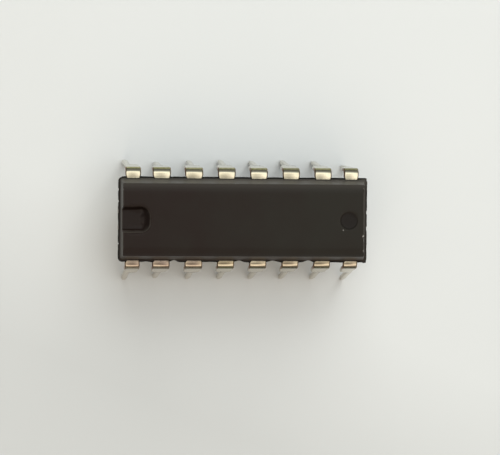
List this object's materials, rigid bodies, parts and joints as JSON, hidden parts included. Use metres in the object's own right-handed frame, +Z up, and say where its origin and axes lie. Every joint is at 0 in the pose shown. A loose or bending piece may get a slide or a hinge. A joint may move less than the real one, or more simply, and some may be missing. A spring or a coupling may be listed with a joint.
{
  "type": "dual in-line integrated circuit",
  "caption": "Flat black moulded case with a notch at one end and a row of bent metal leads down each long side, for fitting to a circuit board.",
  "frame": {"origin": "middle of the rectangle of lead tips, in the plane that they stand on", "axes": "+X along the case, away from the notched end; +Y across the case towards leads 9 to 16; +Z up, out of the top face"},
  "size_m": [0.0196, 0.0094, 0.0071],
  "materials": {
    "epoxy": "matt moulded epoxy, brown-black",
    "lead_plating": "satin pale plating over copper alloy",
    "lead_frame": "bare stamped copper alloy",
    "silver_glue": "cured silver-filled glue",
    "silicon": "polished",
    "gold_wire": "bright gold"
  },
  "bodies": {
    "root": {"body": "epoxy", "die_pad": "lead_frame", "die_attach": "silver_glue", "die": "silicon", "lead_1": "lead_plating", "lead_2": "lead_plating", "lead_3": "lead_plating", "lead_4": "lead_plating", "lead_5": "lead_plating", "lead_6": "lead_plating", "lead_7": "lead_plating", "lead_8": "lead_plating", "lead_9": "lead_plating", "lead_10": "lead_plating", "lead_11": "lead_plating", "lead_12": "lead_plating", "lead_13": "lead_plating", "lead_14": "lead_plating", "lead_15": "lead_plating", "lead_16": "lead_plating", "bond_wire_1": "gold_wire", "bond_wire_2": "gold_wire", "bond_wire_3": "gold_wire", "bond_wire_4": "gold_wire", "bond_wire_5": "gold_wire", "bond_wire_6": "gold_wire", "bond_wire_7": "gold_wire", "bond_wire_8": "gold_wire", "bond_wire_9": "gold_wire", "bond_wire_10": "gold_wire", "bond_wire_11": "gold_wire", "bond_wire_12": "gold_wire", "bond_wire_13": "gold_wire", "bond_wire_14": "gold_wire", "bond_wire_15": "gold_wire", "bond_wire_16": "gold_wire"}
  },
  "joints": []
}
